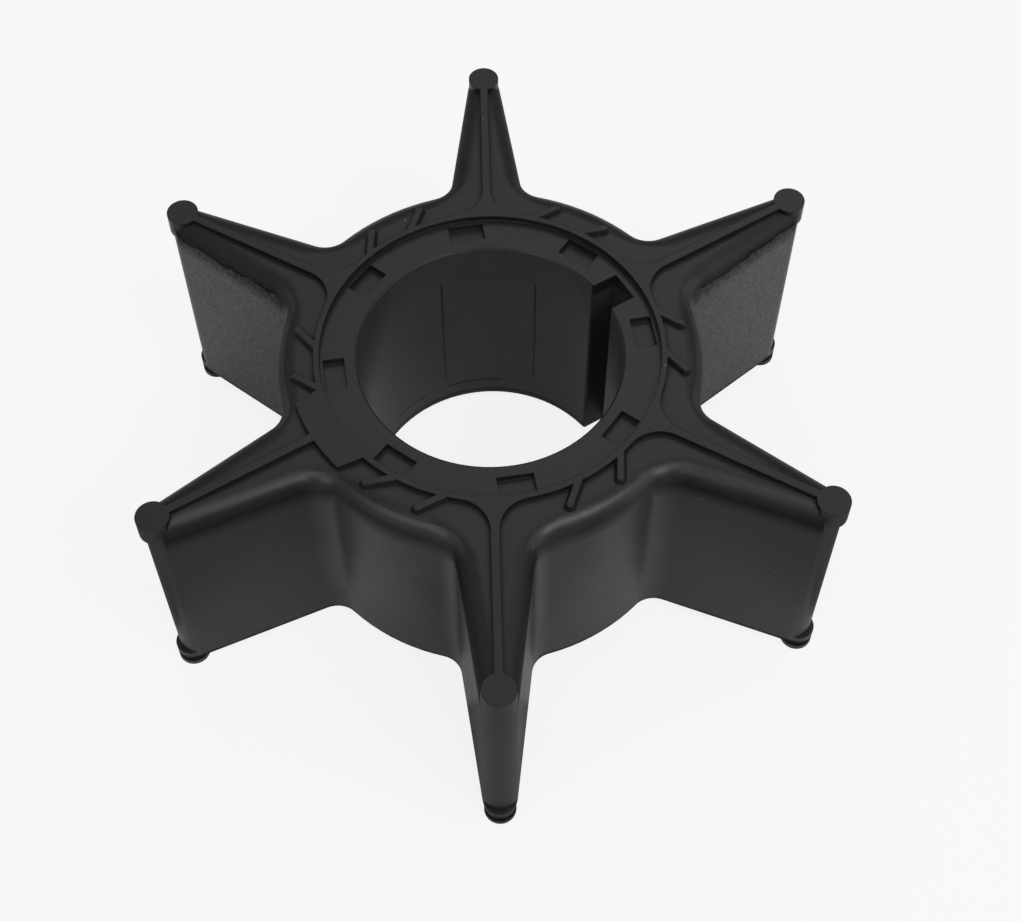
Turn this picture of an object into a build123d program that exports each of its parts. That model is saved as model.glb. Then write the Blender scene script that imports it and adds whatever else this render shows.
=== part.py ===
"""Water pump impeller: a six-vane rubber body moulded round a keyed drive bush."""
from build123d import *
import os
from math import asin, atan2, cos, hypot, radians, sin, sqrt, tan

# Overall sizes, in millimetres. The pump shaft's axis is Z and the part rests on z = 0.
tip_diameter = 66.0
overall_height = 24.0
vane_count = 6
first_vane_angle = 30.0

# Rubber hub and vanes, seen along the axis
hub_wall = 3.7
vane_root_width = 6.7
vane_tip_width = 3.1
root_fillet = 2.2
edge_round = 1.0

# Round heads that seal the vane tips against the end plates
head_diameter = 2.8
head_height = 2.1
head_proud = 0.4

# Raised relief on both faces: a ring, one rib along each vane, two slanted bars between vanes.
# The bars' sides slope, and their width is that of the foot.
relief_height = 0.5
relief_edge_gap = 0.1
ring_width = 0.5
rib_width = 0.7
rib_flare = 3.0
bar_width = 1.05
bar_draft = 27.0
bar_corner = 0.3
bar_slant = 43.0
bar_spread = 16.8
bar_shift = 1.3

# Index pad across the root of one vane, on the upper face only
pad_vane = 3
pad_end_angle = 12.3
pad_foot_angle = 15.9

# Drive bush
bore_diameter = 22.8
bush_wall = 3.2
bush_recess = 0.65
bore_chamfer = 0.15
key_width = 2.9
key_depth = 2.4
key_corner = 0.3

# Pockets in the upper face of the bush
pocket_count = 8
first_pocket_angle = 8.0
pocket_width = 3.1
pocket_length = 1.8
pocket_depth = 0.6
pocket_wall = 0.35

# Radii, places and angles worked out from the sizes above
bore_radius = bore_diameter / 2
bush_radius = bore_radius + bush_wall
hub_radius = bush_radius + hub_wall
head_radius = head_diameter / 2
ring_radius = bush_radius + ring_width
relief_radius = hub_radius - edge_round
bar_place = (ring_radius + relief_radius) / 2
head_place = tip_diameter / 2 - head_radius
end_radius = vane_tip_width / 2
end_place = tip_diameter / 2 - head_proud - end_radius
panel_height = overall_height - 2 * relief_height
relief_root = relief_height + edge_round
root_half = vane_root_width / 2
root_x = sqrt(hub_radius**2 - root_half**2)
vane_length = end_place - root_x
vane_taper = atan2(root_half, vane_length) - asin(end_radius / hypot(root_half, vane_length))
vane_angles = [first_vane_angle + k * 360 / vane_count for k in range(vane_count)]


def polar(radius, angle):
    """Point at a radius and an angle in degrees."""
    return (radius * cos(radians(angle)), radius * sin(radians(angle)))


def vane_plan():
    """One vane along +X, from the axis to the tip circle, with straight tapering sides."""
    tip_x = tip_diameter / 2
    tip_half = root_half - (tip_x - root_x) * tan(vane_taper)
    with BuildSketch(mode=Mode.PRIVATE) as vane:
        with BuildLine():
            Polyline((tip_x, -tip_half), (root_x, -root_half), (0, 0), (root_x, root_half),
                     (tip_x, tip_half), close=True)
        make_face()
    return vane.sketch


def reach_plan():
    """Everything up to where the vanes' sides run tangent into their round ends, and those ends."""
    side_x = end_place + end_radius * sin(vane_taper)
    side_y = end_radius * cos(vane_taper)
    with BuildSketch(mode=Mode.PRIVATE) as reach:
        Circle(hypot(side_x, side_y))
        with PolarLocations(end_place, vane_count, start_angle=first_vane_angle):
            Circle(end_radius)
    return reach.sketch


def bar_plan():
    """One slanted bar along +X, set to the mid-radius of its band, with its outer corners cut."""
    bar_end = relief_radius - relief_edge_gap - bar_width / 2
    inward = (bar_place - ring_radius) / cos(radians(bar_slant)) + bar_width / 2
    outward = (bar_end - bar_place) / cos(radians(bar_slant)) + bar_width / 2
    with BuildSketch(mode=Mode.PRIVATE) as bar:
        with Locations(((outward - inward) / 2, 0)):
            Rectangle(inward + outward, bar_width)
        chamfer(bar.vertices().sort_by(Axis.X)[-2:], bar_corner)
    return bar.sketch


def bars_plan():
    """Two slanted bars in each space between vanes."""
    with BuildSketch(mode=Mode.PRIVATE) as bars:
        for angle in vane_angles:
            middle = angle + 180 / vane_count + bar_shift
            for place_angle in (middle - bar_spread / 2, middle + bar_spread / 2):
                with Locations(Location(polar(bar_place, place_angle), place_angle - bar_slant)):
                    add(bar_plan())
    return bars.sketch


def relief_plan():
    """Ring and the ribs that flare into it, as one outline."""
    with BuildSketch(mode=Mode.PRIVATE) as relief:
        Circle(ring_radius)
        for angle in vane_angles:
            with Locations(Location((0, 0), angle)):
                Rectangle(head_place, rib_width, align=(Align.MIN, Align.CENTER))
        fillet(relief.vertices().filter_by(lambda v: v.X**2 + v.Y**2 < hub_radius**2), rib_flare)
    return relief.sketch


def pad_plan():
    """Raised pad between the relief ring and the rounded edge, to both sides of one rib."""
    outer = relief_radius - relief_edge_gap
    rib_angle = vane_angles[pad_vane]
    outer_start = polar(outer, rib_angle - pad_end_angle)
    outer_end = polar(outer, rib_angle + pad_end_angle)
    foot_start = polar(bush_radius, rib_angle - pad_foot_angle)
    foot_end = polar(bush_radius, rib_angle + pad_foot_angle)
    with BuildSketch(mode=Mode.PRIVATE) as pad:
        with BuildLine():
            RadiusArc(outer_start, outer_end, -outer)
            Polyline(outer_end, foot_end, foot_start, outer_start)
        make_face()
    return pad.sketch


def outline_edges(part):
    """Outer edges of the highest and lowest flat faces."""
    flat = part.faces().filter_by(Axis.Z).sort_by(Axis.Z)
    return flat[0].outer_wire().edges() + flat[-1].outer_wire().edges()


# Rubber body: hub, vanes, tip heads and relief in one moulding
with BuildPart() as rubber_body:
    with BuildSketch(Plane.XY.offset(relief_height)) as star:
        Circle(hub_radius)
        for angle in vane_angles:
            with Locations(Location((0, 0), angle)):
                add(vane_plan())
        root_reach = (hub_radius + edge_round) ** 2
        fillet(star.vertices().filter_by(lambda v: v.X**2 + v.Y**2 < root_reach), root_fillet)
    extrude(amount=panel_height)
    fillet(outline_edges(rubber_body), edge_round)
    with BuildSketch(Plane.XY.offset(relief_height)):
        add(reach_plan())
    extrude(amount=panel_height, mode=Mode.INTERSECT)
    for start, rise in ((0, 1), (overall_height, -1)):
        with BuildSketch(Plane.XY.offset(start)):
            with PolarLocations(head_place, vane_count, start_angle=first_vane_angle):
                Circle(head_radius)
        extrude(amount=rise * head_height)
        with BuildSketch(Plane.XY.offset(start)):
            add(relief_plan())
        extrude(amount=rise * relief_root)
        with BuildSketch(Plane.XY.offset(start + rise * relief_height)):
            add(bars_plan())
        extrude(amount=-rise * relief_height, taper=bar_draft)
    with BuildSketch(Plane.XY.offset(overall_height)):
        add(pad_plan())
    extrude(amount=-relief_root)
    with BuildSketch(Plane.XY):
        Circle(bush_radius)
    extrude(amount=overall_height, mode=Mode.SUBTRACT)
rubber_body.part.label = "rubber_body"

# Drive bush: a ring bonded in the rubber, with the shaft bore, the keyway and the face pockets
bush_height = overall_height - 2 * bush_recess
bush_top = overall_height - bush_recess
pocket_place = bush_radius - pocket_wall - pocket_length / 2
with BuildPart() as drive_bush:
    with BuildSketch(Plane.XY.offset(bush_recess)) as bush_plan:
        Circle(bush_radius)
        Circle(bore_radius, mode=Mode.SUBTRACT)
        with Locations(Location((0, 0), first_vane_angle)):
            Rectangle(bore_radius + key_depth, key_width, align=(Align.MIN, Align.CENTER),
                      mode=Mode.SUBTRACT)
        key_mouth = (*polar(bore_radius, first_vane_angle), bush_recess)
        fillet(bush_plan.vertices().sort_by_distance(key_mouth)[:2], key_corner)
    extrude(amount=bush_height)
    for end, turn in ((bush_recess, 0), (bush_top, 180)):
        with Locations(Location((0, 0, end), (turn, 0, 0))):
            Cone(bore_radius + bore_chamfer, bore_radius, bore_chamfer, mode=Mode.SUBTRACT,
                 align=(Align.CENTER, Align.CENTER, Align.MIN))
    with BuildSketch(Plane.XY.offset(bush_top)):
        with PolarLocations(pocket_place, pocket_count, start_angle=first_pocket_angle):
            Rectangle(pocket_length, pocket_width)
    extrude(amount=-pocket_depth, mode=Mode.SUBTRACT)
drive_bush.part.label = "drive_bush"

os.makedirs("parts", exist_ok=True)
for piece in (rubber_body, drive_bush):
    export_step(piece.part, f"parts/{piece.part.label}.step")
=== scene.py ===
"""Rubber pump impeller on a pale studio floor: materials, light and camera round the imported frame."""
import math

import bpy
from mathutils import Matrix, Vector

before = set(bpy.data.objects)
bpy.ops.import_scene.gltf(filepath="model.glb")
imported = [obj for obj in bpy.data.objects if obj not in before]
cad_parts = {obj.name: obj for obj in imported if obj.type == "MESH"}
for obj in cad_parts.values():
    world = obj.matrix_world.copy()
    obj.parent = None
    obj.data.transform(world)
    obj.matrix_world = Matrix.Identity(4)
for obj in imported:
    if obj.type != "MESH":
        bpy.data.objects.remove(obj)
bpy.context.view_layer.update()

MM = 0.001
SECTOR = math.pi / 3
IMAGE_W, IMAGE_H = 1021, 921

# Levels of the rubber's upper flat faces and of its middle, and how far the edges' rounding shows
FACE_Z, MID_Z = 23.5 * MM, 12.0 * MM
EDGE_TILT, INSET_TURN, DEPTH_TURN = (math.radians(v) for v in (46.75, 23.25 / MM, 14.0 / MM))

# How far off a face a point may lie and still be kept apart from it, and what is no longer a wall
FACE_SLACK = 0.04 * MM
FLAT_FROM = 0.985

# Gloss that rubber and bush share
GLOSS_RANGE = (0.31, 0.38)
REFRACTION, SPECULAR = 1.5, 0.4

# Where the rubber's dust lies: past the hub, towards the back, and up to a ragged line under the edge
DUST_RADII = (18.8 * MM, 20.5 * MM)
DUST_FROM_Y = (1.5 * MM, 3.5 * MM)
DUST_NORMALS = (-0.35, -0.2)
DUST_LIMIT, DUST_TOP = (22.17 * MM, 22.24 * MM), 22.38 * MM

# The rubber's outline: hub circle, vanes with straight tapering sides and round ends, tip heads
HUB_RADIUS, ROOT_FILLET = 18.3 * MM, 2.2 * MM
ROOT_X, ROOT_HALF, TAPER = 17.991 * MM, 3.35 * MM, math.radians(7.786)
END_PLACE, END_RADIUS = 31.05 * MM, 1.55 * MM
HEAD_PLACE, HEAD_RADIUS = 31.6 * MM, 1.4 * MM

# Camera, from the fit to the photograph. Lengths of the fit are in shares of the tip heads' circle.
FIT_UNIT = 31.6 * MM
CAM_AZIMUTH, CAM_ELEVATION, CAM_ROLL = -0.033906, 0.968066, 0.006138
CAM_DISTANCE = 5.20095 * FIT_UNIT
CAM_TARGET = Vector((0.074668 * FIT_UNIT, 0.140278 * FIT_UNIT, 0.5 * 0.757736 * FIT_UNIT))
FOCAL_PX = 1783.49
CENTRE_PX = (516.10, 384.82)
SENSOR = 36.0

# Stage: heights of floor and cards, then each card's name, left, right, far and near edge, and grey
FLOOR_HALF, FLOOR_Z, SHADE_CARD_Z = 3.0, -0.00005, 0.0002
# The cards are painted shade: sheets that only reflections see, standing in for shaded floor and dark
# surroundings
SHADE_CARDS = (
    ("shade_card_front", -0.50, 0.50, -0.055, -0.022, 0.55),
    ("shade_card_left", -0.50, -0.031, -0.022, -0.002, 0.30),
    ("shade_card_right", 0.031, 0.50, -0.022, -0.002, 0.30),
    ("shade_card_black", -0.50, 0.50, -0.60, -0.055, 0.02),
)

# Soft boxes: name, size, azimuth and elevation in degrees, power in watts
LAMP_DISTANCE = 0.55
WORLD_LEVEL = 0.17
LAMPS = (
    ("overhead", (0.40, 0.40), 60, 85, 0.20),
    ("back", (0.34, 0.30), 90, 52, 0.20),
    ("back_right", (0.24, 0.20), 62, 50, 0.07),
    ("left_back", (0.30, 0.24), 150, 45, 0.05),
    ("right_back", (0.30, 0.24), 25, 45, 0.10),
    ("key_right", (0.22, 0.20), -44, 53, 0.66),
    ("key_top", (0.24, 0.20), -90, 72, 0.24),
    ("key_left", (0.22, 0.20), -132, 48, 0.31),
    ("right_low", (0.30, 0.24), -12, 28, 0.12),
    ("left_low", (0.24, 0.14), -125, 20, 0.03),
)


def make_camera():
    """Places the camera at the photograph's viewing angle."""
    back = Vector((
        math.sin(CAM_AZIMUTH) * math.cos(CAM_ELEVATION),
        -math.cos(CAM_AZIMUTH) * math.cos(CAM_ELEVATION),
        math.sin(CAM_ELEVATION),
    ))
    right = (-back).cross(Vector((0, 0, 1))).normalized()
    up = right.cross(-back)
    turn = Matrix.Rotation(CAM_ROLL, 3, back)
    right, up = turn @ right, turn @ up
    data = bpy.data.cameras.new("camera")
    data.sensor_fit = "HORIZONTAL"
    data.sensor_width = SENSOR
    data.lens = FOCAL_PX / IMAGE_W * SENSOR
    data.shift_x = (IMAGE_W / 2 - CENTRE_PX[0]) / IMAGE_W
    data.shift_y = (CENTRE_PX[1] - IMAGE_H / 2) / IMAGE_W
    data.clip_start, data.clip_end = 0.005, 20
    cam = bpy.data.objects.new("camera", data)
    bpy.context.scene.collection.objects.link(cam)
    pose = Matrix((right, up, back)).transposed().to_4x4()
    pose.translation = CAM_TARGET + back * CAM_DISTANCE
    cam.matrix_world = pose
    bpy.context.scene.camera = cam


class Nodes:
    """Short-hand for building a material's node tree."""

    def __init__(self, name):
        self.mat = bpy.data.materials.new(name)
        self.mat.use_nodes = True
        self.tree = self.mat.node_tree
        self.tree.nodes.clear()
        self.out = self.add("ShaderNodeOutputMaterial")

    def add(self, kind, **props):
        node = self.tree.nodes.new(kind)
        for key, value in props.items():
            setattr(node, key, value)
        return node

    def put(self, socket, value):
        """Links an output to the socket, or sets the socket's own value."""
        if isinstance(value, bpy.types.NodeSocket):
            self.tree.links.new(value, socket)
        else:
            socket.default_value = value

    def math(self, op, a, b=0.0, c=0.0, clamp=False):
        node = self.add("ShaderNodeMath", operation=op, use_clamp=clamp)
        for socket, value in zip(node.inputs, (a, b, c)):
            self.put(socket, value)
        return node.outputs[0]

    def ramp(self, value, low, high, to_low=0.0, to_high=1.0):
        """Smooth run from to_low at low to to_high at high."""
        node = self.add("ShaderNodeMapRange", interpolation_type="SMOOTHSTEP")
        for socket, v in zip(node.inputs, (value, low, high, to_low, to_high)):
            self.put(socket, v)
        return node.outputs[0]

    def noise(self, where, scale, detail, rough=0.55):
        node = self.add("ShaderNodeTexNoise")
        self.put(node.inputs["Vector"], where)
        node.inputs["Scale"].default_value = scale
        node.inputs["Detail"].default_value = detail
        node.inputs["Roughness"].default_value = rough
        return node.outputs["Fac"]

    def length(self, a, b):
        """Length of the vector with the parts a and b."""
        squares = [self.math("MULTIPLY", part, part) for part in (a, b)]
        return self.math("SQRT", self.math("ADD", *squares))

    def pick(self, test, if_no, if_yes):
        """if_yes where the test is 1, if_no where it is 0."""
        node = self.add("ShaderNodeMix", data_type="FLOAT")
        self.put(node.inputs[0], test)
        self.put(node.inputs[2], if_no)
        self.put(node.inputs[3], if_yes)
        return node.outputs[0]

    def mix(self, share, a, b):
        node = self.add("ShaderNodeMix", data_type="RGBA")
        self.put(node.inputs["Factor"], share)
        self.put(node.inputs["A"], a)
        self.put(node.inputs["B"], b)
        return node.outputs["Result"]

    def specks(self, where, scale, size, share):
        """1 on small scattered specks, of which only a share is kept."""
        cells = self.add("ShaderNodeTexVoronoi")
        self.put(cells.inputs["Vector"], where)
        cells.inputs["Scale"].default_value = scale
        kept = self.math("LESS_THAN", cells.outputs["Color"], share)
        near = self.ramp(cells.outputs["Distance"], size * 0.5, size, 1.0, 0.0)
        return self.math("MULTIPLY", kept, near)

    def bump(self, height, strength, distance, under):
        """Normal of a height laid over the normal under it."""
        node = self.add("ShaderNodeBump")
        node.inputs["Strength"].default_value = strength
        node.inputs["Distance"].default_value = distance
        self.put(node.inputs["Height"], height)
        self.put(node.inputs["Normal"], under)
        return node.outputs[0]


def grey(value):
    """Linear colour of a black or grey surface, a trace bluer than neutral."""
    return (value, value, value * 1.01, 1.0)


def split(n, vector):
    """X, Y and Z of a vector."""
    node = n.add("ShaderNodeSeparateXYZ")
    n.put(node.inputs[0], vector)
    return node.outputs["X"], node.outputs["Y"], node.outputs["Z"]


def band(n, value, middle, half, soft):
    """1 within half of the middle, fading to 0 over soft."""
    off = n.math("ABSOLUTE", n.math("SUBTRACT", value, middle))
    return n.ramp(off, half, half + soft, 1.0, 0.0)


def coated(n, colour, rough, normal):
    """Principled shader with the gloss that rubber and bush share."""
    shader = n.add("ShaderNodeBsdfPrincipled")
    n.put(shader.inputs["Base Color"], colour)
    n.put(shader.inputs["Roughness"], rough)
    shader.inputs["IOR"].default_value = REFRACTION
    shader.inputs["Specular IOR Level"].default_value = SPECULAR
    n.put(shader.inputs["Normal"], normal)
    return shader


def rubber_material():
    """Black moulded rubber with fine grain and specks of dust, cloudy painted light on the hub's walls, and
    painted shade in the creases and at the walls' feet.
    """
    n = Nodes("rubber_moulded")
    here = n.add("ShaderNodeTexCoord").outputs["Object"]
    normal_x, normal_y, normal_z = split(n, n.add("ShaderNodeNewGeometry").outputs["Normal"])
    x, y, z = split(n, here)
    radius = n.length(x, y)
    cloud = n.noise(here, 90, 4)
    fine = n.noise(here, 1500, 3)
    grain = n.noise(here, 4200, 2)

    # The point folded into one vane's half of its sector, along and across the vane
    around = n.math("ARCTAN2", y, x)
    turn = n.math("SUBTRACT", n.math("FLOORED_MODULO", around, SECTOR), SECTOR / 2)
    along = n.math("MULTIPLY", radius, n.math("COSINE", turn))
    across = n.math("MULTIPLY", radius, n.math("SINE", turn))
    side = n.math("SIGN", across)
    across = n.math("ABSOLUTE", across)
    to_end = n.math("SUBTRACT", along, END_PLACE)
    end_far = n.length(to_end, across)
    past = n.math("GREATER_THAN", along, END_PLACE + END_RADIUS * math.sin(TAPER))
    by_line = n.math("ADD", n.math("MULTIPLY", n.math("SUBTRACT", along, ROOT_X), math.sin(TAPER)),
                     n.math("MULTIPLY", n.math("SUBTRACT", across, ROOT_HALF), math.cos(TAPER)))
    vane_gap = n.pick(past, by_line, n.math("SUBTRACT", end_far, END_RADIUS))
    vane_out = (n.pick(past, math.sin(TAPER), n.math("DIVIDE", to_end, end_far)),
                n.pick(past, math.cos(TAPER), n.math("DIVIDE", across, end_far)))
    hub_out = (n.math("DIVIDE", along, radius), n.math("DIVIDE", across, radius))

    # How far inside the star outline the point lies, and which way the outline is
    vane_pull = n.math("MAXIMUM", n.math("SUBTRACT", ROOT_FILLET, vane_gap), 0.0)
    hub_pull = n.math("MAXIMUM", n.math("SUBTRACT", ROOT_FILLET + HUB_RADIUS, radius), 0.0)
    pull = n.math("MAXIMUM", n.length(vane_pull, hub_pull), 0.01 * MM)
    inset = n.math("MAXIMUM", n.math("SUBTRACT", pull, ROOT_FILLET), 0.0)
    sums = (n.math("ADD", n.math("MULTIPLY", vane_pull, v), n.math("MULTIPLY", hub_pull, h))
            for v, h in zip(vane_out, hub_out))
    out_x, out_y = (n.math("DIVIDE", each, pull) for each in sums)
    out_y = n.math("MULTIPLY", out_y, side)
    sector = n.math("SUBTRACT", around, turn)
    cos_s, sin_s = n.math("COSINE", sector), n.math("SINE", sector)
    level_x = n.math("SUBTRACT", n.math("MULTIPLY", out_x, cos_s), n.math("MULTIPLY", out_y, sin_s))
    level_y = n.math("ADD", n.math("MULTIPLY", out_x, sin_s), n.math("MULTIPLY", out_y, cos_s))

    # On walls the surface's own direction is taken, and on flat faces that of the outline
    steep = n.length(normal_x, normal_y)
    own = n.ramp(steep, 0.12, 0.4)
    steep = n.math("MAXIMUM", steep, 0.01)
    level_x = n.pick(own, level_x, n.math("DIVIDE", normal_x, steep))
    level_y = n.pick(own, level_y, n.math("DIVIDE", normal_y, steep))

    # The upper edge's rounding runs out softly over the flat face and down the wall
    depth = n.math("MAXIMUM", n.math("SUBTRACT", FACE_Z, z), 0.0)
    tilt = n.math("SUBTRACT", n.math("MULTIPLY", inset, INSET_TURN), n.math("MULTIPLY", depth, DEPTH_TURN))
    tilt = n.math("ADD", tilt, EDGE_TILT)
    tilt = n.math("MINIMUM", n.math("MAXIMUM", tilt, 0.0), math.pi / 2)
    rounded = n.add("ShaderNodeCombineXYZ")
    n.put(rounded.inputs[0], n.math("MULTIPLY", level_x, n.math("COSINE", tilt)))
    n.put(rounded.inputs[1], n.math("MULTIPLY", level_y, n.math("COSINE", tilt)))
    n.put(rounded.inputs[2], n.math("SINE", tilt))
    rounded_unit = n.add("ShaderNodeVectorMath", operation="NORMALIZE")
    n.put(rounded_unit.inputs[0], rounded.outputs[0])
    from_head = n.length(n.math("SUBTRACT", along, HEAD_PLACE), across)
    off_head = n.math("GREATER_THAN", from_head, HEAD_RADIUS + FACE_SLACK)
    under_relief = n.math("LESS_THAN", z, FACE_Z + FACE_SLACK / 2)
    near_top = n.math("GREATER_THAN", z, MID_Z)
    widen = n.math("MULTIPLY", n.math("MULTIPLY", off_head, under_relief), near_top)
    off_middle = n.math("ABSOLUTE", n.math("SUBTRACT", z, MID_Z))
    upright = n.math("LESS_THAN", n.math("ABSOLUTE", normal_z), FLAT_FROM)
    on_wall = n.math("MULTIPLY", n.math("LESS_THAN", off_middle, FACE_Z - MID_Z - FACE_SLACK), upright)
    crisp = n.add("ShaderNodeBevel", samples=4)
    crisp.inputs["Radius"].default_value = 0.12 * MM
    blend = n.add("ShaderNodeMix", data_type="VECTOR")
    n.put(blend.inputs["Factor"], widen)
    n.put(blend.inputs[4], crisp.outputs[0])
    n.put(blend.inputs[5], rounded_unit.outputs[0])

    # Dust and a rougher skin on the near walls of the two rear side vanes
    rear = n.math("MULTIPLY", n.ramp(y, *DUST_FROM_Y), n.ramp(normal_y, *DUST_NORMALS, 1.0, 0.0))
    dusty = n.math("MULTIPLY", n.math("MULTIPLY", rear, on_wall), n.ramp(radius, *DUST_RADII))
    grit = n.noise(here, 2600, 4, 0.75)
    waver = n.math("SUBTRACT", n.noise(here, 600, 2, 0.5), 0.5)
    ragged = n.math("ADD", z, n.math("MULTIPLY", waver, 2.0 * MM))
    brink = n.math("MULTIPLY", dusty, band(n, ragged, DUST_TOP, 0.14 * MM, 0.08 * MM))
    dusty = n.math("MULTIPLY", dusty, n.ramp(ragged, *DUST_LIMIT, 1.0, 0.0))

    # Colour: cloudy black, dust with a dark line along its ragged top, painted light on the hub's walls (a
    # paler cloudy grey), specks
    shade = n.math("ADD", n.math("MULTIPLY", cloud, 0.6), n.math("MULTIPLY", fine, 0.4))
    colour = n.mix(n.ramp(shade, 0.35, 0.65), grey(0.014), grey(0.019))
    dust = n.mix(n.ramp(grit, 0.4, 0.6), grey(0.021), grey(0.074))
    colour = n.mix(dusty, colour, dust)
    colour = n.mix(brink, colour, grey(0.004))
    # Painted light: the walls near the hub get a paler grey, as if more light fell on them
    painted_hub_light = n.math("MULTIPLY", on_wall, n.ramp(radius, 18.6 * MM, 20.5 * MM, 1.0, 0.0))
    colour = n.mix(painted_hub_light, colour, n.mix(n.ramp(cloud, 0.4, 0.6), grey(0.03), grey(0.045)))
    colour = n.mix(n.specks(here, 420, 0.05, 0.45), colour, grey(0.12))

    # Painted shade along the walls' feet, and painted shade in the creases, which are also duller
    low_z = n.math("ADD", z, n.math("MULTIPLY", waver, 0.8 * MM))
    foot = n.math("MULTIPLY", n.ramp(low_z, 1.1 * MM, 1.8 * MM, 0.9, 0.0), on_wall)
    wear = n.math("ADD", n.math("MULTIPLY", cloud, 0.5), n.math("MULTIPLY", fine, 0.5))
    rough = n.ramp(wear, 0.3, 0.7, *GLOSS_RANGE)
    hollow = n.add("ShaderNodeAmbientOcclusion", samples=6, only_local=True)
    hollow.inputs["Distance"].default_value = 0.7 * MM
    crease_shade = n.ramp(hollow.outputs["AO"], 0.4, 0.85, 1.0, 0.0)
    # Painted shade: the creases are darkened towards black
    colour = n.mix(n.math("MULTIPLY", crease_shade, 0.65), colour, grey(0.002))
    rough = n.math("ADD", rough, n.math("MULTIPLY", crease_shade, 0.35))
    normal = n.bump(fine, 0.15, 0.05 * MM, blend.outputs[1])
    grit_height = n.math("MULTIPLY", n.math("MULTIPLY", grit, dusty), 4.0)
    normal = n.bump(n.math("ADD", grain, grit_height), 0.2, 0.02 * MM, normal)
    shader = coated(n, colour, rough, normal)
    # Painted shade at the walls' feet: a near-black diffuse mixed in by the foot mask
    painted_foot_shade = n.add("ShaderNodeBsdfDiffuse")
    painted_foot_shade.inputs["Color"].default_value = grey(0.006)
    foot_shaded = n.add("ShaderNodeMixShader")
    n.put(foot_shaded.inputs[0], foot)
    n.put(foot_shaded.inputs[1], shader.outputs[0])
    n.put(foot_shaded.inputs[2], painted_foot_shade.outputs[0])
    n.put(n.out.inputs["Surface"], foot_shaded.outputs[0])
    return n.mat


def bush_material():
    """Dark moulded plastic, with the witness lines of its mould in the bore, and painted light on the walls
    of the bore and keyway.
    """
    n = Nodes("bush_moulded")
    here = n.add("ShaderNodeTexCoord").outputs["Object"]
    x, y, z = split(n, here)
    normal_z = split(n, n.add("ShaderNodeNewGeometry").outputs["Normal"])[2]
    radius = n.length(x, y)
    angle = n.math("ARCTAN2", x, y)
    cloud = n.noise(here, 120, 4)
    fine = n.noise(here, 1800, 3)
    shade = n.math("ADD", n.math("MULTIPLY", cloud, 0.6), n.math("MULTIPLY", fine, 0.4))
    colour = n.mix(n.ramp(shade, 0.35, 0.65), grey(0.015), grey(0.021))

    # Witness lines: two upright ones, short arcs above the lower edge and one right round it
    in_bore = n.math("LESS_THAN", radius, 11.45 * MM)
    waver = n.math("MULTIPLY", n.math("SUBTRACT", n.noise(here, 400, 2), 0.5), 0.006)
    bent = n.math("ADD", angle, waver)
    pair = band(n, n.math("ABSOLUTE", bent), math.radians(22.0), 0.004, 0.006)
    pair = n.math("MULTIPLY", pair, band(n, z, 11.8 * MM, 7.3 * MM, 0.6 * MM))
    low_rise = n.math("ADD", z, n.math("MULTIPLY", waver, 20 * MM))
    arcs = n.math("ADD", band(n, angle, math.radians(-8.0), 0.22, 0.04),
                  band(n, angle, math.radians(-42.0), 0.14, 0.04))
    arcs = n.math("MULTIPLY", arcs, band(n, low_rise, 3.05 * MM, 0.1 * MM, 0.1 * MM))
    foot = band(n, low_rise, 1.4 * MM, 0.2 * MM, 0.15 * MM)
    marks = n.math("ADD", n.math("ADD", pair, arcs, clamp=True), foot, clamp=True)
    marks = n.math("MULTIPLY", marks, in_bore)
    marks = n.math("MULTIPLY", marks, n.ramp(cloud, 0.35, 0.55, 0.6, 1.0))
    colour = n.mix(marks, colour, grey(0.003))

    # Painted light in the bore: its wall gets a paler grey
    painted_bore_light = n.mix(n.ramp(shade, 0.35, 0.65), grey(0.045), grey(0.06))
    colour = n.mix(n.math("MULTIPLY", in_bore, n.math("SUBTRACT", 1.0, marks)), colour, painted_bore_light)
    colour = n.mix(n.specks(here, 500, 0.05, 0.4), colour, grey(0.1))

    # Painted light on the keyway's walls as well: a paler grey
    painted_keyway_light = n.math("MULTIPLY", n.math("GREATER_THAN", radius, 11.5 * MM), n.math("LESS_THAN", z, 22.0 * MM))
    painted_keyway_light = n.math("MULTIPLY", painted_keyway_light, n.math("LESS_THAN", n.math("ABSOLUTE", normal_z), 0.5))
    colour = n.mix(painted_keyway_light, colour, grey(0.05))
    rough = n.ramp(shade, 0.3, 0.7, *GLOSS_RANGE)
    round_normal = n.add("ShaderNodeBevel", samples=4)
    round_normal.inputs["Radius"].default_value = 0.1 * MM
    normal = n.bump(fine, 0.2, 0.04 * MM, round_normal.outputs[0])
    normal = n.bump(n.math("SUBTRACT", 1.0, marks), 0.6, 0.06 * MM, normal)
    shader = coated(n, colour, rough, normal)
    n.put(n.out.inputs["Surface"], shader.outputs[0])
    return n.mat


def dress(node, material):
    """Gives a node of the frame its material and clean shading."""
    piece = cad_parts[node]
    piece.data.materials.clear()
    piece.data.materials.append(material)
    weld = piece.modifiers.new("weld", "WELD")
    weld.merge_threshold = 0.002 * MM
    for poly in piece.data.polygons:
        poly.use_smooth = True
    sharp = piece.modifiers.new("sharp_edges", "EDGE_SPLIT")
    sharp.use_edge_angle = True
    sharp.use_edge_sharp = False
    sharp.split_angle = math.radians(30)
    normals = piece.modifiers.new("normals", "WEIGHTED_NORMAL")
    normals.keep_sharp = True
    normals.weight = 100


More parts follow.
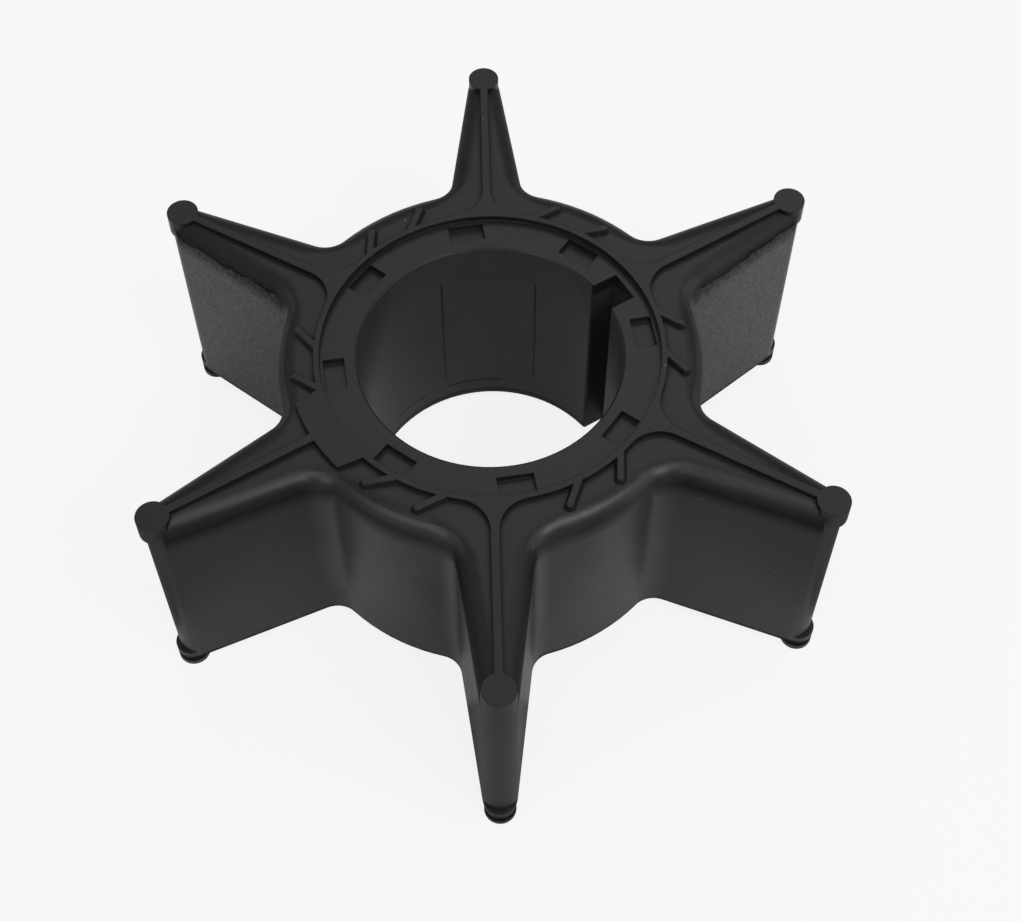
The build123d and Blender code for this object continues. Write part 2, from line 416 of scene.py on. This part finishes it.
def backdrop_shader(n, colour, share, glow):
    """Surface that shows a share of white to the eye, and a little of it, its glow, in reflections."""
    path = n.add("ShaderNodeLightPath")
    seen = n.math("ADD", path.outputs["Is Camera Ray"], path.outputs["Is Transmission Ray"], clamp=True)
    mirrored = n.math("MULTIPLY", path.outputs["Is Glossy Ray"], glow)
    seen = n.math("ADD", n.math("MULTIPLY", seen, share), mirrored)
    plain = n.add("ShaderNodeBsdfDiffuse")
    plain.inputs["Color"].default_value = colour
    white = n.add("ShaderNodeEmission")
    white.inputs["Color"].default_value = (1, 1, 1, 1)
    white.inputs["Strength"].default_value = 1.0
    mix = n.add("ShaderNodeMixShader")
    n.put(mix.inputs[0], seen)
    n.put(mix.inputs[1], plain.outputs[0])
    n.put(mix.inputs[2], white.outputs[0])
    return mix.outputs[0]


def sheet(name, left, right, far, near, level):
    """Level rectangle between the given X and Y, for the stage."""
    mesh = bpy.data.meshes.new(name)
    corners = [(left, far, 0), (right, far, 0), (right, near, 0), (left, near, 0)]
    mesh.from_pydata(corners, [], [(0, 1, 2, 3)])
    flat = bpy.data.objects.new(name, mesh)
    bpy.context.scene.collection.objects.link(flat)
    flat.location.z = level
    return flat


def make_floor():
    """Pale floor that keeps the part's shadow."""
    floor = sheet("floor", -FLOOR_HALF, FLOOR_HALF, -FLOOR_HALF, FLOOR_HALF, FLOOR_Z)
    n = Nodes("floor_pale")
    n.put(n.out.inputs["Surface"], backdrop_shader(n, (0.9, 0.9, 0.9, 1), 0.85, 0.1))
    floor.data.materials.append(n.mat)


def make_shade_card(name, left, right, far, near, shade):
    """Painted shade for reflections: a card lying on the floor beside the part, which only reflections see.
    """
    card = sheet(name, left, right, far, near, SHADE_CARD_Z)
    card.visible_camera = card.visible_diffuse = card.visible_shadow = False
    n = Nodes(name)
    plain = n.add("ShaderNodeBsdfDiffuse")
    plain.inputs["Color"].default_value = grey(shade)
    n.put(n.out.inputs["Surface"], plain.outputs[0])
    card.data.materials.append(n.mat)


def lamp(name, size, azimuth, elevation, power):
    """Soft box aimed at the part, placed by its direction in degrees."""
    data = bpy.data.lights.new(name, "AREA")
    data.shape = "RECTANGLE"
    data.size, data.size_y = size
    data.energy = power
    lamp_object = bpy.data.objects.new(name, data)
    bpy.context.scene.collection.objects.link(lamp_object)
    az, el = math.radians(azimuth), math.radians(elevation)
    away = Vector((math.cos(el) * math.cos(az), math.cos(el) * math.sin(az), math.sin(el)))
    lamp_object.location = away * LAMP_DISTANCE + Vector((0, 0, MID_Z))
    lamp_object.rotation_euler = away.to_track_quat("Z", "Y").to_euler()


def make_light():
    """Dim even world that shows white to the eye, and the soft boxes."""
    world = bpy.data.worlds.new("studio")
    bpy.context.scene.world = world
    world.use_nodes = True
    tree = world.node_tree
    tree.nodes.clear()
    out = tree.nodes.new("ShaderNodeOutputWorld")
    path = tree.nodes.new("ShaderNodeLightPath")
    soft = tree.nodes.new("ShaderNodeBackground")
    soft.inputs["Color"].default_value = (1, 1, 1, 1)
    soft.inputs["Strength"].default_value = WORLD_LEVEL
    white = tree.nodes.new("ShaderNodeBackground")
    white.inputs["Color"].default_value = (1, 1, 1, 1)
    white.inputs["Strength"].default_value = 1.0
    mix = tree.nodes.new("ShaderNodeMixShader")
    seen = tree.nodes.new("ShaderNodeMath")
    seen.operation = "MAXIMUM"
    tree.links.new(path.outputs["Is Camera Ray"], seen.inputs[0])
    tree.links.new(path.outputs["Is Transmission Ray"], seen.inputs[1])
    tree.links.new(seen.outputs[0], mix.inputs[0])
    tree.links.new(soft.outputs[0], mix.inputs[1])
    tree.links.new(white.outputs[0], mix.inputs[2])
    tree.links.new(mix.outputs[0], out.inputs["Surface"])
    for row in LAMPS:
        lamp(*row)


make_camera()
dress("rubber_body", rubber_material())
dress("drive_bush", bush_material())
make_floor()
# Painted shade seen only in reflections: the cards
for shade_card_row in SHADE_CARDS:
    make_shade_card(*shade_card_row)
make_light()
bpy.context.scene.view_settings.view_transform = "Standard"
